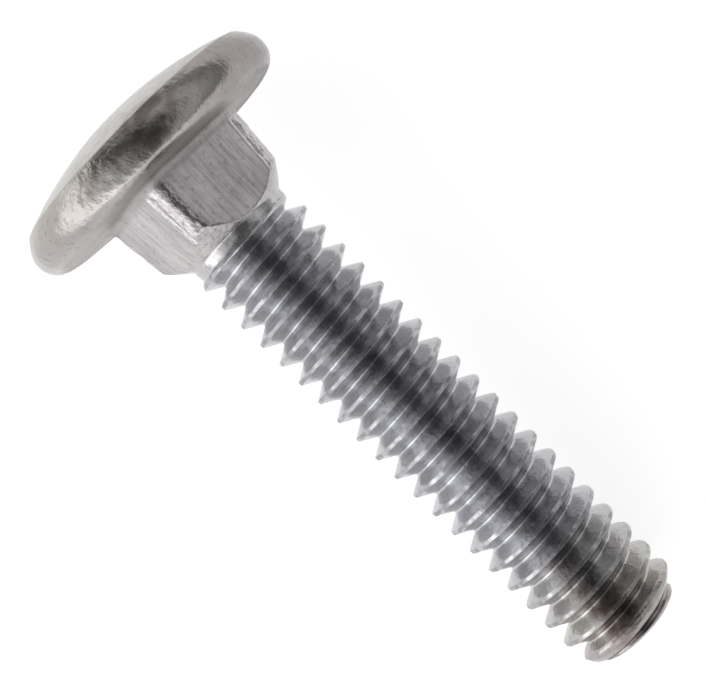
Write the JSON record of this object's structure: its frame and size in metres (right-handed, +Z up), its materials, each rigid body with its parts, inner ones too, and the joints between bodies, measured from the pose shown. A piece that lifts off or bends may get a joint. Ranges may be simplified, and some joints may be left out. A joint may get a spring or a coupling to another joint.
{
  "type": "carriage bolt",
  "caption": "Carriage bolt with a domed round head, a square neck and a coarse right-hand thread, lying on its side.",
  "frame": {"origin": "on the surface the bolt lies on, under the middle of its box", "axes": "+X runs from the head towards the point, +Z is up, and the bolt's own axis falls 8 degrees towards the point"},
  "size_m": [0.0348, 0.015, 0.0148],
  "materials": {
    "zinc_plate": "bright zinc plate over cold-headed steel, with die lines on the square neck and dull patches on the rim"
  },
  "bodies": {
    "root": {"bolt": "zinc_plate"}
  },
  "joints": []
}
